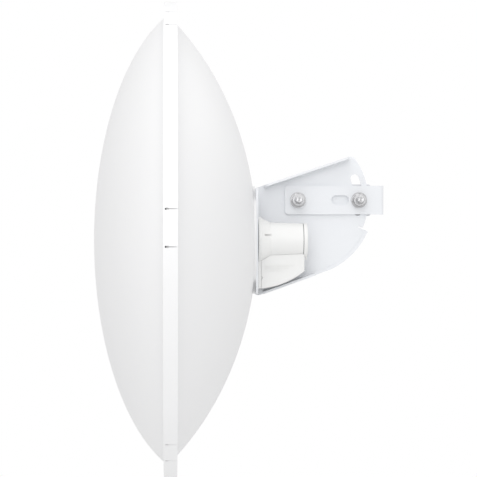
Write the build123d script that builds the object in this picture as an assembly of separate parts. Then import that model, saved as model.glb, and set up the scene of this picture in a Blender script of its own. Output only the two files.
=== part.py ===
"""Pole-mounted dish antenna with a domed radome, built as separate pieces.

Millimetres. +Z is up, along the pole. The origin is on the pole's axis, level with the
two clamp bolts. The dish looks along -X. The clamp bolts run along Y, with their nuts on
the -Y side. The dish axis is parallel to X, below the bolts and to the -Y side of the
pole, so that the pole passes beside the radio.

Pieces of the antenna itself are drawn about the dish axis: x from the middle of the rim
band towards the pole, y and z from the dish axis. `on_antenna` moves them into place.
"""

import os
from math import acos, asin, atan2, cos, degrees, hypot, pi, radians, sin, sqrt

from build123d import *

# ---------------------------------------------------------------- driving dimensions
# Pole and clamp
POLE_D = 42.4
BOLT_SPACING = 85.5
BOLT_D = 10.0
BOLT_HOLE_CLEARANCE = 0.3
BOLT_TAIL = 14.0
JAW_LENGTH = 119.0
JAW_HEIGHT = 44.0
JAW_WALL = 11.8
JAW_END_THICK = 12.0
JAW_SEAT_HALF_ANGLE = 60.0
JAW_LAND = 5.0
JAW_SLOPE = 9.0
JAW_TOOTH = 1.0
JAW_POCKET = 6.0
BAR_SHEET = 4.0
BAR_LEFT = 18.0
BAR_RIGHT = 34.7
BAR_HALF_HEIGHT = 20.0
BAR_CORNER = 5.0
BAR_RETURN = 14.0
BAR_SLOT_LENGTH = 24.4
BAR_SLOT_WIDTH = 13.0
BAR_SLOT_FROM_BOLT = 14.2
WASHER_D = 22.0
WASHER_THICK = 2.0
LOCK_WASHER_D = 18.0
LOCK_WASHER_THICK = 2.2
NUT_ACROSS_FLATS = 16.0
NUT_HEIGHT = 8.4
THREAD_CLEARANCE = 0.05
BOLT_HEAD_D = 23.0
BOLT_HEAD_HEIGHT = 5.0
SQUARE_NECK = 10.0
SQUARE_CLEARANCE = 0.2

# Bracket: one bent sheet, a cheek beside the pole and a foot on the back of the dish
SHEET = 3.0
CHEEK_OFFSET = 35.0
PIVOT_ABOVE_AXIS = 55.8
PIVOT_BEHIND_RIM = 177.6
TOP_EDGE_START = 71.4
TOP_EDGE_ANGLE = 18.6
BOTTOM_EDGE_START = -79.9
BOTTOM_EDGE_ANGLE = 19.7
CHEEK_UPPER_R = 99.0
CHEEK_LOWER_R = 107.5
CHEEK_STEP_ANGLE = -24.0
CHEEK_NOTCH_WIDTH = 1.6
CHEEK_NOTCH_DEPTH = 6.0
CHEEK_CORNER_R = 8.0
CHEEK_FOOT_CORNER_R = 7.0
EDGE_BEAD_WIDTH = 4.5
EDGE_BEAD_HEIGHT = 1.2
ARC_SLOT_WIDTH = 12.0
TILT_UP = 20.7
TILT_DOWN = 10.5
STIFFENER_DEPTH = 18.0
TOP_STIFFENER_LENGTH = 125.0
BOTTOM_STIFFENER_LENGTH = 77.0
FOOT_NEAR_EDGE = -52.0
FOOT_TOP = 70.0
FOOT_BOTTOM = -73.0
FOOT_CORNER_R = 14.0
BEND_R = 6.0
SCALE_TICK_STEP = 2.5
SCALE_TICK_DEPTH = 0.4
SCALE_TICK_WIDTH = 0.7
SCALE_INNER_R = 93.5

# Dish, rim and radome
RIM_R = 325.0
BAND_WIDTH = 18.0
SKIN = 2.5
RADOME_EDGE_R = 303.0
RADOME_SEMI_AXIAL = 154.0
RADOME_SEMI_RADIAL = 327.7
RADOME_NOSE_R = 2.0
REFLECTOR_SKIN = 2.0
REFLECTOR_SEMI_AXIAL = 338.0
REFLECTOR_SEMI_RADIAL = 400.0
REFLECTOR_APEX = 118.3
REFLECTOR_FLANGE = 7.5
REFLECTOR_LIP_GAP = 1.0
HUB_R = 74.0
HUB_HOLE_R = 30.3
HUB_THICK = 3.0
SEAL_THICK = 1.5
TAB_COUNT = 6
TAB_TURN = 2.6
TAB_HALF_WIDTH = 23.0
TAB_SLIT = 0.8
TAB_SLIT_FRONT = -1.8
TAB_RELIEF_LENGTH = 5.0
TAB_RELIEF_WIDTH = 2.6
TAB_HOOK_REACH = 3.0
TAB_HOOK_CLEARANCE = 0.3

# Foot screws
SCREW_SPREAD_Y = 24.0
SCREW_SPREAD_Z = 56.0
SCREW_D = 5.0
SCREW_HEAD_D = 9.6
SCREW_HEAD_DEPTH = 2.4
SCREW_HOLE_CLEARANCE = 0.2
SCREW_NUT_FLATS = 8.0
SCREW_NUT_HEIGHT = 4.7

# Radio housing behind the dish
BASE_THICK = 4.0
BASE_R = 32.0
BASE_BOTTOM = -66.6
BASE_HALF_WIDTH = 13.0
SPIGOT_R = 30.0
SPIGOT_BORE_R = 21.0
SHOULDER_LENGTH = 12.5
BARREL_ROOT_R = 24.4
BARREL_TAPER = 1.6
BARREL_WALL = 2.2
BARREL_END = 182.0
SEAL_INSET = 1.6
HOUSING_SEAL_THICK = 2.0
CAP_SEAL_THICK = 0.8
CAP_LENGTH = 5.2
CAP_LIP = 0.5
CAP_SPIGOT = 6.0
CAP_SPIGOT_CLEARANCE = 0.1
CAP_LUG_HALF_WIDTH = 4.0
CAP_LUG_DROP = 3.7
CAP_LUG_HOLE_R = 1.2
HOUSING_GAP = 0.3
LATCH_SLOT_LENGTH = 9.6
LATCH_SLOT_WIDTH = 1.8
LATCH_SLOT_DEPTH = 1.4
LATCH_SLOT_Z = 6.8
PORT_WINDOW_LENGTH = 22.0
PORT_WINDOW_WIDTH = 18.0
RAIL_GRIP = 1.5
RAIL_HEIGHT = 2.0

# Port cover under the barrel
COVER_HALF_WIDTH = 13.0
COVER_WALL = 2.0
COVER_END = 183.6
COVER_BACK_Z = -43.0
COVER_MIDDLE_X = 155.0
COVER_MIDDLE_Z = -59.4
COVER_TRAVEL = 38.0
RIB_COUNT = 3
RIB_PITCH = 3.4
RIB_TOP_Z = -34.0
RIB_START = 129.0
RIB_LENGTH = 40.0
RIB_SHORTER = 7.0
RIB_HEIGHT = 0.9
RIB_WIDTH = 1.2
FINGER_NOTCH_Z = -51.5
FINGER_NOTCH = 4.0
GROMMET_X = 150.0
GROMMET_R = 6.0
GROMMET_BORE_R = 3.1
GROMMET_TOP = -52.0
GROMMET_LIP_R = 8.0
GROMMET_LIP_THICK = 1.6

# Feed on the dish axis
FEED_TUBE_ROOT_R = 29.4
FEED_TUBE_TIP_R = 17.0
FEED_TUBE_WALL = 2.2
FEED_TUBE_FRONT = -40.8
FEED_FLANGE_R = 42.0
FEED_FLANGE_THICK = 3.0
FEED_SEAL_THICK = 1.0
FEED_SCREW_RING_R = 25.5
FEED_SCREW_R = 1.6
FEED_SCREW_HEAD_R = 3.0
FEED_SCREW_LENGTH = 9.0
WAVEGUIDE_R = 10.5
WAVEGUIDE_BORE_R = 9.0
WAVEGUIDE_FLANGE_R = 19.5
CONE_R = 33.0
CONE_LENGTH = 12.0
CONE_PLUG = 10.0
SPLASH_R = 35.0
SPLASH_THICK = 2.5
FEED_CAP_R = 37.6
FEED_CAP_WALL = 1.6

# Radio electronics inside the barrel
BOARD_THICK = 1.6
BOARD_SIDE_CLEARANCE = 2.6
BOARD_START = 126.0
BOARD_END = 175.5
BOARD_Z = 0.0
SHIELD_START = 130.0
SHIELD_LENGTH = 32.0
SHIELD_HALF_WIDTH = 13.0
SHIELD_HEIGHT = 5.4
SPREADER_HEIGHT = 6.0
SPREADER_HALF_WIDTH = 11.0
JACK_LENGTH = 16.0
JACK_HALF_WIDTH = 8.0
JACK_HEIGHT = 17.0
JACK_X = 150.0
BUTTON_X = 167.5
BUTTON_R = 1.75
BUTTON_COLLAR_R = 2.8
BUTTON_FIT = 0.06
BUTTON_TRAVEL = 0.7
SWITCH_HALF = 3.0
SWITCH_HEIGHT = 3.5
LIGHT_R = 1.5
LIGHT_Z = -13.0

# ---------------------------------------------------------------- derived places
POLE_R = POLE_D / 2
BOLT_R = BOLT_D / 2
BOLT_HOLE_R = BOLT_R + BOLT_HOLE_CLEARANCE
PIVOT_X = -BOLT_SPACING / 2
SLOT_X = BOLT_SPACING / 2
JAW_BACK_Y = POLE_R + JAW_WALL
JAW_MOUTH_Y = POLE_R * cos(radians(JAW_SEAT_HALF_ANGLE))
CHEEK_FAR_Y = -JAW_BACK_Y
CHEEK_NEAR_Y = CHEEK_FAR_Y - SHEET
BAR_NEAR_Y = CHEEK_NEAR_Y - BAR_SHEET
WASHER_NEAR_Y = BAR_NEAR_Y - WASHER_THICK
NUT_SEAT_Y = WASHER_NEAR_Y - LOCK_WASHER_THICK
NUT_NEAR_Y = NUT_SEAT_Y - NUT_HEIGHT
BOLT_END_Y = NUT_NEAR_Y - BOLT_TAIL

DISH_AXIS_X = PIVOT_X - PIVOT_BEHIND_RIM
DISH_AXIS_Y = CHEEK_NEAR_Y - CHEEK_OFFSET
DISH_AXIS_Z = -PIVOT_ABOVE_AXIS

HALF_BAND = BAND_WIDTH / 2
REFLECTOR_CENTRE = REFLECTOR_APEX - REFLECTOR_SEMI_AXIAL
HUB_SEAT = REFLECTOR_CENTRE + REFLECTOR_SEMI_AXIAL * sqrt(1 - (HUB_R / REFLECTOR_SEMI_RADIAL) ** 2)
HUB_FRONT = HUB_SEAT - REFLECTOR_SKIN
FOOT_FRONT = HUB_SEAT + HUB_THICK
FOOT_BACK = FOOT_FRONT + SHEET
BASE_FRONT = FOOT_BACK + HOUSING_SEAL_THICK
BASE_BACK = BASE_FRONT + BASE_THICK
BARREL_START = BASE_BACK + SHOULDER_LENGTH
CAP_FRONT = BARREL_END + CAP_SEAL_THICK
CAP_BACK = CAP_FRONT + CAP_LENGTH
CHEEK_FAR = CHEEK_OFFSET + SHEET
BARREL_TIP_R = BARREL_ROOT_R - BARREL_TAPER
CAP_R = BARREL_TIP_R + CAP_LIP
CAP_LUG_BOTTOM = -CAP_R - CAP_LUG_DROP
BOARD_HALF_WIDTH = BARREL_TIP_R - BARREL_WALL - BOARD_SIDE_CLEARANCE
RAIL_HALF_SPAN = BOARD_HALF_WIDTH - RAIL_GRIP
FEED_FLANGE_BACK = HUB_FRONT - FEED_SEAL_THICK
FEED_FLANGE_FRONT = FEED_FLANGE_BACK - FEED_FLANGE_THICK
FEED_CAP_BACK = FEED_TUBE_FRONT
CONE_ROOT = FEED_CAP_BACK - 2 * FEED_CAP_WALL
SPLASH_BACK = CONE_ROOT - CONE_LENGTH
SPLASH_FRONT = SPLASH_BACK - SPLASH_THICK


# ---------------------------------------------------------------- helpers
def on_antenna(shape):
    """Moves a piece drawn about the dish axis into the row frame."""
    return Pos(DISH_AXIS_X, DISH_AXIS_Y, DISH_AXIS_Z) * shape


def block(x0, x1, y0, y1, z0, z1):
    """A box between two corners."""
    centre = Pos((x0 + x1) / 2, (y0 + y1) / 2, (z0 + z1) / 2)
    return centre * Box(abs(x1 - x0), abs(y1 - y0), abs(z1 - z0))


def rod_x(x0, x1, radius, y=0.0, z=0.0):
    """A round bar along X."""
    return Pos((x0 + x1) / 2, y, z) * Rot(0, 90, 0) * Cylinder(radius, abs(x1 - x0))


def rod_y(y0, y1, radius, x=0.0, z=0.0):
    """A round bar along Y."""
    return Pos(x, (y0 + y1) / 2, z) * Rot(90, 0, 0) * Cylinder(radius, abs(y1 - y0))


def rod_z(z0, z1, radius, x=0.0, y=0.0):
    """A round bar along Z."""
    return Pos(x, y, (z0 + z1) / 2) * Cylinder(radius, abs(z1 - z0))


def turned(*points):
    """A solid of revolution about the X axis, from the corners (x, radius) of its half section."""
    return revolve(make_face(Polyline(*points, close=True)), Axis.X)


def ellipse_point(centre, semi_axial, semi_radial, radius, side):
    """The point at a radius on an ellipse about the X axis, on its front (-1) or back (+1) half."""
    return (centre + side * semi_axial * sqrt(1 - (radius / semi_radial) ** 2), radius)


def ellipse_arc(centre, semi_axial, semi_radial, radius_a, radius_b, side):
    """The arc of such an ellipse between two radii."""
    angles = [degrees(asin(r / semi_radial)) for r in (radius_a, radius_b)]
    if side < 0:
        angles = [180 - a for a in angles]
    low, high = min(angles), max(angles)
    return EllipticalCenterArc((centre, 0), semi_axial, semi_radial, start_angle=low, arc_size=high - low)


def hexagon_y(y0, y1, across_flats, x, z):
    """A hexagonal prism along Y."""
    prism = extrude(RegularPolygon(across_flats / 2, 6, major_radius=False), abs(y1 - y0))
    return Pos(x, max(y0, y1), z) * Rot(90, 0, 0) * prism


def sheet_in_xz(face, y0, y1):
    """A flat sheet between two Y planes from a face drawn in X and Z."""
    return Pos(0, y1, 0) * Rot(90, 0, 0) * extrude(face, y1 - y0)


def save(name, shape):
    """Writes one sub-part."""
    export_step(shape, f"parts/{name}.step")


# ---------------------------------------------------------------- radome and rim
def make_radome():
    """Domed cover with a skirt round the rim, cut into snap tabs."""
    semi = (RADOME_SEMI_AXIAL, RADOME_SEMI_RADIAL)
    depth = semi[0] * sqrt(1 - (RADOME_EDGE_R / semi[1]) ** 2)
    centre = -HALF_BAND + depth
    inner = (semi[0] - SKIN, semi[1] - SKIN)
    nose = ellipse_point(centre, *semi, RADOME_NOSE_R, -1)
    inner_nose = ellipse_point(centre, *inner, RADOME_NOSE_R, -1)
    shelf = -HALF_BAND + SKIN
    inner_edge_r = inner[1] * sqrt(1 - ((shelf - centre) / inner[0]) ** 2)
    skirt_r = RIM_R - SKIN

    outside = [
        ellipse_arc(centre, *semi, RADOME_NOSE_R, RADOME_EDGE_R, -1),
        Polyline((-HALF_BAND, RADOME_EDGE_R), (-HALF_BAND, RIM_R), (HALF_BAND, RIM_R), (HALF_BAND, 0)),
        Polyline((HALF_BAND, 0), (nose[0], 0), nose),
    ]
    inside = [
        ellipse_arc(centre, *inner, RADOME_NOSE_R, inner_edge_r, -1),
        Polyline((shelf, inner_edge_r), (shelf, skirt_r), (HALF_BAND + 1, skirt_r), (HALF_BAND + 1, 0)),
        Polyline((HALF_BAND + 1, 0), (inner_nose[0], 0), inner_nose),
    ]
    shell = revolve(make_face(outside), Axis.X) - revolve(make_face(inside), Axis.X)

    hook_front = REFLECTOR_FLANGE + TAB_HOOK_CLEARANCE
    hook_arc = degrees(2 * TAB_HALF_WIDTH / RIM_R) - 2
    hook = revolve(
        make_face(
            Polyline(
                (hook_front, skirt_r + SKIN / 2),
                (hook_front, skirt_r - TAB_HOOK_REACH),
                (HALF_BAND, skirt_r - TAB_HOOK_REACH + 1),
                (HALF_BAND, skirt_r + SKIN / 2),
                close=True,
            )
        ),
        Axis.X,
        revolution_arc=hook_arc,
    )
    slit = block(
        TAB_SLIT_FRONT - 1, HALF_BAND + 1, -TAB_SLIT / 2, TAB_SLIT / 2, skirt_r - SKIN, RIM_R + SKIN
    )
    relief_front = TAB_SLIT_FRONT - TAB_RELIEF_LENGTH
    relief = block(
        relief_front, TAB_SLIT_FRONT, -TAB_RELIEF_WIDTH / 2, TAB_RELIEF_WIDTH / 2, skirt_r - SKIN, RIM_R + SKIN
    )
    relief = fillet(relief.edges().filter_by(Axis.Z), TAB_RELIEF_WIDTH / 2 - 0.1)
    cut = slit + relief
    half_angle = degrees(TAB_HALF_WIDTH / RIM_R)
    slits = []
    hooks = []
    for tab in range(TAB_COUNT):
        middle = 90 - TAB_TURN + tab * 360 / TAB_COUNT
        slits += [Rot(middle + side * half_angle, 0, 0) * cut for side in (-1, 1)]
        hooks.append(Rot(middle + 90 - hook_arc / 2, 0, 0) * hook)
    return shell + hooks - slits


def make_reflector():
    """Spun dish with a flat hub, a flat rim flange and a lip turned forward."""
    semi = (REFLECTOR_SEMI_AXIAL, REFLECTOR_SEMI_RADIAL)
    inner = (semi[0] - REFLECTOR_SKIN, semi[1] - REFLECTOR_SKIN)
    lip_r = RIM_R - SKIN - REFLECTOR_LIP_GAP
    front = -HALF_BAND + SKIN + SEAL_THICK
    flange_front = REFLECTOR_FLANGE - REFLECTOR_SKIN
    bowl_r = semi[1] * sqrt(1 - ((REFLECTOR_FLANGE - REFLECTOR_CENTRE) / semi[0]) ** 2)
    inner_bowl_r = inner[1] * sqrt(1 - ((flange_front - REFLECTOR_CENTRE) / inner[0]) ** 2)
    inner_hub_r = inner[1] * sqrt(1 - ((HUB_FRONT - REFLECTOR_CENTRE) / inner[0]) ** 2)
    back = [
        Line((front, 0), (HUB_SEAT, 0)),
        Line((HUB_SEAT, 0), (HUB_SEAT, HUB_R)),
        ellipse_arc(REFLECTOR_CENTRE, *semi, HUB_R, bowl_r, 1),
        Polyline((REFLECTOR_FLANGE, bowl_r), (REFLECTOR_FLANGE, lip_r), (front, lip_r), (front, 0)),
    ]
    hollow = [
        Line((front - 1, 0), (HUB_FRONT, 0)),
        Line((HUB_FRONT, 0), (HUB_FRONT, inner_hub_r)),
        ellipse_arc(REFLECTOR_CENTRE, *inner, inner_hub_r, inner_bowl_r, 1),
        Polyline(
            (flange_front, inner_bowl_r),
            (flange_front, lip_r - REFLECTOR_SKIN),
            (front - 1, lip_r - REFLECTOR_SKIN),
            (front - 1, 0),
        ),
    ]
    dish = revolve(make_face(back), Axis.X) - revolve(make_face(hollow), Axis.X)
    return dish - rod_x(HUB_FRONT - 1, HUB_SEAT + 1, HUB_HOLE_R) - foot_screw_holes()


def make_rim_seal():
    """Rubber ring squeezed between the radome's shelf and the dish's lip."""
    outer = RIM_R - SKIN - REFLECTOR_LIP_GAP
    start = -HALF_BAND + SKIN
    return rod_x(start, start + SEAL_THICK, outer) - rod_x(start - 1, start + SEAL_THICK + 1, outer - 5)


# ---------------------------------------------------------------- hub and bracket
def screw_places():
    """The four foot screws, as (y, z)."""
    return [(y, z) for y in (-SCREW_SPREAD_Y, SCREW_SPREAD_Y) for z in (-SCREW_SPREAD_Z, SCREW_SPREAD_Z)]


def foot_screw_holes():
    """Clearance holes through the dish, the hub plate and the foot."""
    radius = SCREW_D / 2 + SCREW_HOLE_CLEARANCE
    return [rod_x(HUB_FRONT - 1, FOOT_BACK + 1, radius, y, z) for y, z in screw_places()]


def make_hub_plate():
    """Backing disc between the dish and the bracket's foot."""
    disc = rod_x(HUB_SEAT, FOOT_FRONT, HUB_R) - rod_x(HUB_SEAT - 1, FOOT_FRONT + 1, HUB_HOLE_R)
    return disc - foot_screw_holes()


def cheek_outline():
    """The cheek's face in x and z: two straight edges that close on two arcs about the pivot."""
    px, pz = PIVOT_BEHIND_RIM, PIVOT_ABOVE_AXIS
    top_slope = sin(radians(TOP_EDGE_ANGLE)) / cos(radians(TOP_EDGE_ANGLE))
    bottom_slope = sin(radians(BOTTOM_EDGE_ANGLE)) / cos(radians(BOTTOM_EDGE_ANGLE))

    def meet(start_z, slope, radius):
        """Where an edge from the foot meets a circle about the pivot."""
        rise = start_z - pz + slope * (px - FOOT_FRONT)
        a, b, c = 1 + slope**2, 2 * slope * rise, rise**2 - radius**2
        x = (-b + sqrt(b * b - 4 * a * c)) / (2 * a)
        return x, rise + slope * x

    top = meet(TOP_EDGE_START, top_slope, CHEEK_UPPER_R)
    bottom = meet(BOTTOM_EDGE_START, bottom_slope, CHEEK_LOWER_R)
    top_angle = degrees(atan2(top[1], top[0]))
    bottom_angle = degrees(atan2(bottom[1], bottom[0]))
    step = (cos(radians(CHEEK_STEP_ANGLE)), sin(radians(CHEEK_STEP_ANGLE)))
    edges = [
        Line((FOOT_FRONT, BOTTOM_EDGE_START), (px + bottom[0], pz + bottom[1])),
        CenterArc((px, pz), CHEEK_LOWER_R, bottom_angle, CHEEK_STEP_ANGLE - bottom_angle),
        Line(
            (px + CHEEK_LOWER_R * step[0], pz + CHEEK_LOWER_R * step[1]),
            (px + CHEEK_UPPER_R * step[0], pz + CHEEK_UPPER_R * step[1]),
        ),
        CenterArc((px, pz), CHEEK_UPPER_R, CHEEK_STEP_ANGLE, top_angle - CHEEK_STEP_ANGLE),
        Line((px + top[0], pz + top[1]), (FOOT_FRONT, TOP_EDGE_START)),
        Line((FOOT_FRONT, TOP_EDGE_START), (FOOT_FRONT, BOTTOM_EDGE_START)),
    ]
    face = make_face(edges)
    corner = face.vertices().sort_by_distance((px + top[0], pz + top[1], 0))[0]
    face = fillet(corner, CHEEK_CORNER_R)
    for start in (TOP_EDGE_START, BOTTOM_EDGE_START):
        corner = face.vertices().sort_by_distance((FOOT_FRONT, start, 0))[0]
        face = fillet(corner, CHEEK_FOOT_CORNER_R)
    return face


def make_bracket():
    """Cheek, foot and two stiffening flanges bent from one sheet."""
    px, pz = PIVOT_BEHIND_RIM, PIVOT_ABOVE_AXIS
    cheek = sheet_in_xz(cheek_outline(), CHEEK_OFFSET, CHEEK_FAR)
    foot = block(FOOT_FRONT, FOOT_BACK, FOOT_NEAR_EDGE, CHEEK_FAR, FOOT_BOTTOM, FOOT_TOP)
    near_corners = foot.edges().filter_by(Axis.X).sort_by(Axis.Y)[:2]
    foot = fillet(near_corners, FOOT_CORNER_R)

    def stiffener(start_z, angle, length, side):
        """A flange bent towards the radio along a straight edge, and the rounding of its bend."""
        start = SHEET + 2 * BEND_R
        end = start + length
        inner = BEND_R - SHEET
        strip = block(start, end, CHEEK_OFFSET - STIFFENER_DEPTH, CHEEK_FAR, 0, -SHEET)
        strip = fillet(strip.edges().filter_by(Axis.Z).sort_by(Axis.Y)[:2], BEND_R)
        fill = block(start, end, CHEEK_OFFSET - inner, CHEEK_OFFSET, -SHEET - inner, -SHEET)
        fill = fill - rod_x(start - 1, end + 1, inner, CHEEK_OFFSET - inner, -SHEET - inner)
        trim = block(start, end, CHEEK_FAR - BEND_R, CHEEK_FAR + 1, -BEND_R, 1)
        trim = trim - rod_x(start - 1, end + 1, BEND_R, CHEEK_FAR - BEND_R, -BEND_R)
        place = Pos(FOOT_FRONT, 0, start_z) * Rot(0, -angle, 0)
        if side < 0:
            strip, fill, trim = (mirror(piece, about=Plane.XY) for piece in (strip, fill, trim))
        return place * (strip + fill), place * trim

    top, top_trim = stiffener(TOP_EDGE_START, TOP_EDGE_ANGLE, TOP_STIFFENER_LENGTH, 1)
    bottom, bottom_trim = stiffener(BOTTOM_EDGE_START, BOTTOM_EDGE_ANGLE, BOTTOM_STIFFENER_LENGTH, -1)
    body = cheek + foot + top + bottom + edge_bead() - top_trim - bottom_trim

    pivot_hole = rod_y(CHEEK_OFFSET - 1, CHEEK_FAR + 1, BOLT_HOLE_R, px, pz)
    slot_face = SlotArc(
        CenterArc((px, pz), BOLT_SPACING, -TILT_DOWN, TILT_UP + TILT_DOWN), ARC_SLOT_WIDTH
    )
    slot = sheet_in_xz(slot_face, CHEEK_OFFSET - 1, CHEEK_FAR + 1)
    notch = block(
        CHEEK_UPPER_R - CHEEK_NOTCH_DEPTH,
        CHEEK_UPPER_R + 1,
        CHEEK_OFFSET - 1,
        CHEEK_FAR + 1,
        0,
        CHEEK_NOTCH_WIDTH,
    )
    notch = Pos(px, 0, pz) * Rot(0, -CHEEK_STEP_ANGLE, 0) * notch
    hub_hole = rod_x(FOOT_FRONT - 1, FOOT_BACK + 1, HUB_HOLE_R)
    sinks = [
        turned(
            (FOOT_BACK - SCREW_HEAD_DEPTH - 0.2, 0),
            (FOOT_BACK - SCREW_HEAD_DEPTH - 0.2, SCREW_D / 2),
            (FOOT_BACK, SCREW_HEAD_D / 2 + 0.2),
            (FOOT_BACK + 1, SCREW_HEAD_D / 2 + 0.2),
            (FOOT_BACK + 1, 0),
        )
    ]
    sinks = [Pos(0, y, z) * sinks[0] for y, z in screw_places()]
    return body - [pivot_hole, slot, notch, hub_hole] - foot_screw_holes() - sinks - scale_ticks()


def edge_bead():
    """Raised bead along the cheek's lower arc, on its near face."""
    outer = rod_y(CHEEK_OFFSET - EDGE_BEAD_HEIGHT, CHEEK_OFFSET, CHEEK_LOWER_R)
    inner = rod_y(CHEEK_OFFSET - 2 * EDGE_BEAD_HEIGHT, CHEEK_FAR, CHEEK_LOWER_R - EDGE_BEAD_WIDTH)
    ring = Pos(PIVOT_BEHIND_RIM, 0, PIVOT_ABOVE_AXIS) * (outer - inner)
    keep = sheet_in_xz(cheek_outline(), CHEEK_OFFSET - EDGE_BEAD_HEIGHT, CHEEK_OFFSET)
    half = block(0, CHEEK_LOWER_R, 0, CHEEK_FAR, -CHEEK_LOWER_R, -1)
    wedge = Pos(PIVOT_BEHIND_RIM, 0, PIVOT_ABOVE_AXIS) * Rot(0, -CHEEK_STEP_ANGLE, 0) * half
    return ring & keep & wedge


def scale_ticks():
    """Engraved tilt scale on the cheek's near face, outside the curved slot."""
    ticks = []
    count = int((TILT_UP + TILT_DOWN) / SCALE_TICK_STEP)
    for i in range(count + 1):
        angle = -TILT_DOWN + i * SCALE_TICK_STEP
        length = 4.5 if i % 2 == 0 else 2.8
        tick = block(
            SCALE_INNER_R,
            SCALE_INNER_R + length,
            CHEEK_OFFSET - 1,
            CHEEK_OFFSET + SCALE_TICK_DEPTH,
            -SCALE_TICK_WIDTH / 2,
            SCALE_TICK_WIDTH / 2,
        )
        ticks.append(Pos(PIVOT_BEHIND_RIM, 0, PIVOT_ABOVE_AXIS) * Rot(0, -angle, 0) * tick)
    return ticks


def make_foot_screws():
    """Countersunk screws, flush with the foot."""
    screw = turned(
        (FOOT_BACK, 0),
        (FOOT_BACK, SCREW_HEAD_D / 2),
        (FOOT_BACK - SCREW_HEAD_DEPTH, SCREW_D / 2),
        (HUB_FRONT - SCREW_NUT_HEIGHT - 2, SCREW_D / 2),
        (HUB_FRONT - SCREW_NUT_HEIGHT - 2, 0),
    )
    socket = rod_x(FOOT_BACK - 1.5, FOOT_BACK + 1, 1.7)
    return Compound([Pos(0, y, z) * (screw - socket) for y, z in screw_places()])


def make_foot_nuts():
    """Nuts on the foot screws, inside the dish."""
    prism = Rot(0, -90, 0) * extrude(RegularPolygon(SCREW_NUT_FLATS / 2, 6, major_radius=False), SCREW_NUT_HEIGHT)
    nut = Pos(HUB_FRONT, 0, 0) * prism
    nut = nut - rod_x(HUB_FRONT - SCREW_NUT_HEIGHT - 1, HUB_FRONT + 1, SCREW_D / 2 + THREAD_CLEARANCE)
    return Compound([Pos(0, y, z) * nut for y, z in screw_places()])


# ---------------------------------------------------------------- radio housing
def base_tongue(x0, x1, inset):
    """The tongue of the housing's foot, which runs down behind the port cover."""
    half = BASE_HALF_WIDTH - inset
    tongue = block(x0, x1, -half, half, BASE_BOTTOM + inset, -SPIGOT_BORE_R - BARREL_WALL)
    return fillet(tongue.edges().filter_by(Axis.X).sort_by(Axis.Z)[:2], BASE_HALF_WIDTH / 3)


def barrel_envelope(offset):
    """Outside of the shoulder and the tapered barrel, grown by an offset."""
    return turned(
        (BASE_BACK, 0),
        (BASE_BACK, BASE_R - 1 + offset),
        (BARREL_START, BARREL_ROOT_R + offset),
        (BARREL_END, BARREL_TIP_R + offset),
        (BARREL_END, 0),
    )


def make_housing():
    """Radio housing: spigot through the hub, foot, shoulder and tapered barrel."""
    outside = turned(
        (HUB_FRONT, 0),
        (HUB_FRONT, SPIGOT_R),
        (BASE_FRONT, SPIGOT_R),
        (BASE_FRONT, BASE_R),
        (BASE_BACK, BASE_R),
        (BASE_BACK, BASE_R - 1),
        (BARREL_START, BARREL_ROOT_R),
        (BARREL_END, BARREL_TIP_R),
        (BARREL_END, 0),
    )
    bore_root = BARREL_ROOT_R - BARREL_WALL
    bore_tip = BARREL_TIP_R - BARREL_WALL
    bore = turned(
        (HUB_FRONT - 1, 0),
        (HUB_FRONT - 1, SPIGOT_BORE_R),
        (BASE_BACK, SPIGOT_BORE_R),
        (BASE_BACK, bore_root),
        (BARREL_END + 1, bore_tip),
        (BARREL_END + 1, 0),
    )
    body = outside + base_tongue(BASE_FRONT, BASE_BACK, 0)
    window_x = PORT_WINDOW_LENGTH / 2
    window = block(
        JACK_X - window_x, JACK_X + window_x, -PORT_WINDOW_WIDTH / 2, PORT_WINDOW_WIDTH / 2, -BARREL_ROOT_R - 1, 0
    )
    window = fillet(window.edges().filter_by(Axis.Z), 2)
    button_hole = rod_z(-BARREL_ROOT_R - 1, 0, BUTTON_R + BUTTON_FIT, BUTTON_X)
    slot_r = BARREL_ROOT_R + 4
    latch_slot = block(
        BARREL_START - LATCH_SLOT_LENGTH + 1,
        BARREL_START + 1,
        -slot_r,
        -(BARREL_ROOT_R - LATCH_SLOT_DEPTH - 1),
        LATCH_SLOT_Z - LATCH_SLOT_WIDTH / 2,
        LATCH_SLOT_Z + LATCH_SLOT_WIDTH / 2,
    )
    body = body - [bore, window, button_hole, latch_slot]
    screw_hole = rod_x(HUB_FRONT - 1, HUB_FRONT + FEED_SCREW_LENGTH - FEED_FLANGE_THICK, FEED_SCREW_R + THREAD_CLEARANCE)
    body = body - feed_ring(screw_hole)
    rail_reach = (bore_root + BARREL_TIP_R) / 2
    rails = [
        block(BASE_BACK - 1, BOARD_END, side * RAIL_HALF_SPAN, side * rail_reach, BOARD_Z - RAIL_HEIGHT, BOARD_Z)
        for side in (-1, 1)
    ]
    return body + rails


def feed_ring(shape):
    """Four copies on the ring of feed screws."""
    turns = [45, 135, 225, 315]
    return [Rot(turn, 0, 0) * Pos(0, 0, FEED_SCREW_RING_R) * shape for turn in turns]


def make_housing_seal():
    """Gasket between the housing's foot and the bracket's foot."""
    outline = rod_x(FOOT_BACK, BASE_FRONT, BASE_R - SEAL_INSET / 2) + base_tongue(FOOT_BACK, BASE_FRONT, SEAL_INSET)
    return outline - rod_x(FOOT_BACK - 1, BASE_FRONT + 1, SPIGOT_R + (HUB_HOLE_R - SPIGOT_R) / 2)


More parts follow.
